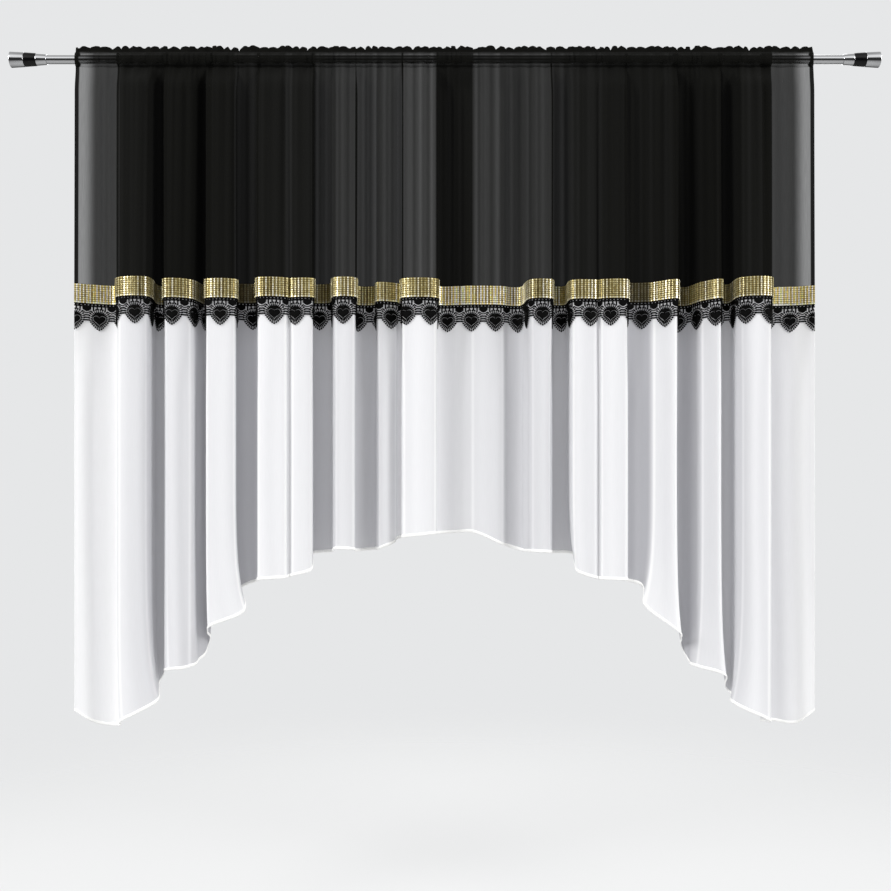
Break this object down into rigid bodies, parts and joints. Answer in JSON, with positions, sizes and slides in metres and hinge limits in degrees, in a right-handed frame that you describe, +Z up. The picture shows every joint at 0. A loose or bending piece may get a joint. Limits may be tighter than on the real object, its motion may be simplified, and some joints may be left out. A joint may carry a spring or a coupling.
{
  "type": "arched sheer curtain on rod",
  "caption": "Arched sheer curtain on its rod: black voile top, white voile below with an arched hem, gold stone band and heart lace over the seam.",
  "frame": {"origin": "middle of the rod's axis", "axes": "+X along the rod to the right seen from the room, -Y towards the room, +Z up"},
  "size_m": [1.9152, 0.1095, 1.5044],
  "materials": {
    "chrome": "polished plated steel",
    "black_enamel": "gloss enamel",
    "black_voile": "sheer plain weave",
    "white_voile": "sheer plain weave",
    "gold_stones": "faceted and bright",
    "black_lace": "embroidered guipure"
  },
  "bodies": {
    "root": {"rod": "chrome", "finial_left_cone": "chrome", "finial_left_ring": "black_enamel", "finial_left_end": "chrome", "finial_right_cone": "chrome", "finial_right_ring": "black_enamel", "finial_right_end": "chrome", "upper_panel": "black_voile", "lower_panel": "white_voile", "gold_band": "gold_stones", "lace_trim": "black_lace"}
  },
  "joints": []
}
